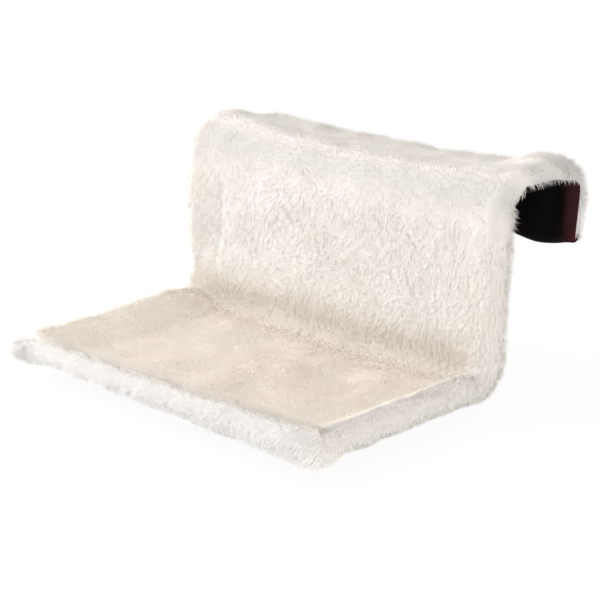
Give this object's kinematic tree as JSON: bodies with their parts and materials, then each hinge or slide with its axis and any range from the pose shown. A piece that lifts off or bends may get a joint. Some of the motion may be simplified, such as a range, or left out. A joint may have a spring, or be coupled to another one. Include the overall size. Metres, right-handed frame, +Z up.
{
  "type": "cat radiator hammock",
  "caption": "Cat bed that hangs on a radiator: pale plush cover with a dark red lining on a bent tube frame, with a hook that slides out for deeper radiators",
  "frame": {"origin": "centre of the bottom of the bed's box, on the plane its seat rolls stand on", "axes": "+Z up, +X along the width towards the right hand of someone facing the back from the front, -Y towards the front roll, +Y towards the hook's flap"},
  "size_m": [0.4472, 0.4132, 0.2271],
  "materials": {
    "frame_steel": "zinc plated tube",
    "zinc": "bright zinc",
    "black_plastic": "moulded",
    "cream_plush": "long soft pile",
    "beige_plush": "long soft pile",
    "wadding": "polyester wadding",
    "wine_lining": "short velour",
    "tape": "hook and loop tape"
  },
  "bodies": {
    "bed": {"front_tube": "frame_steel", "left_side_tube": "frame_steel", "right_side_tube": "frame_steel", "seat_joint_screws": "zinc", "cross_tube": "frame_steel", "cross_tube_plugs": "black_plastic", "cross_tube_screws": "zinc", "left_collar": "zinc", "right_collar": "zinc", "left_guide_bush": "black_plastic", "right_guide_bush": "black_plastic", "seat_panel": "beige_plush", "seat_wadding": "wadding", "seat_lining": "wine_lining", "front_roll": "cream_plush", "left_seat_roll": "cream_plush", "right_seat_roll": "cream_plush", "back_panel": "cream_plush", "back_wadding": "wadding", "back_lining": "wine_lining", "left_post_roll": "cream_plush", "right_post_roll": "cream_plush", "top_panel": "cream_plush", "top_lining": "wine_lining", "left_arm_roll": "cream_plush", "right_arm_roll": "cream_plush", "closure_loop_tape": "tape", "closure_hook_tape": "tape"},
    "hook": {"hook_tube": "frame_steel", "leg_plugs": "black_plastic", "flap_panel": "cream_plush", "flap_lining": "wine_lining", "flap_hem": "cream_plush", "left_flap_roll": "cream_plush", "right_flap_roll": "cream_plush"},
    "left_screw": {"left_thumb_screw": "zinc"},
    "right_screw": {"right_thumb_screw": "zinc"}
  },
  "joints": [
    {"name": "hook_slide", "type": "slide", "parent": "bed", "child": "hook", "axis": [0, 1, 0], "range_m": [0, 0.02]},
    {"name": "left_screw_turn", "type": "hinge", "parent": "bed", "child": "left_screw", "pos_m": [-0.19, 0.11816, 0.2085], "axis": [1, 0, 0], "range_deg": [0, 450]},
    {"name": "right_screw_turn", "type": "hinge", "parent": "bed", "child": "right_screw", "pos_m": [0.19, 0.11816, 0.2085], "axis": [-1, 0, 0], "range_deg": [0, 450]}
  ]
}
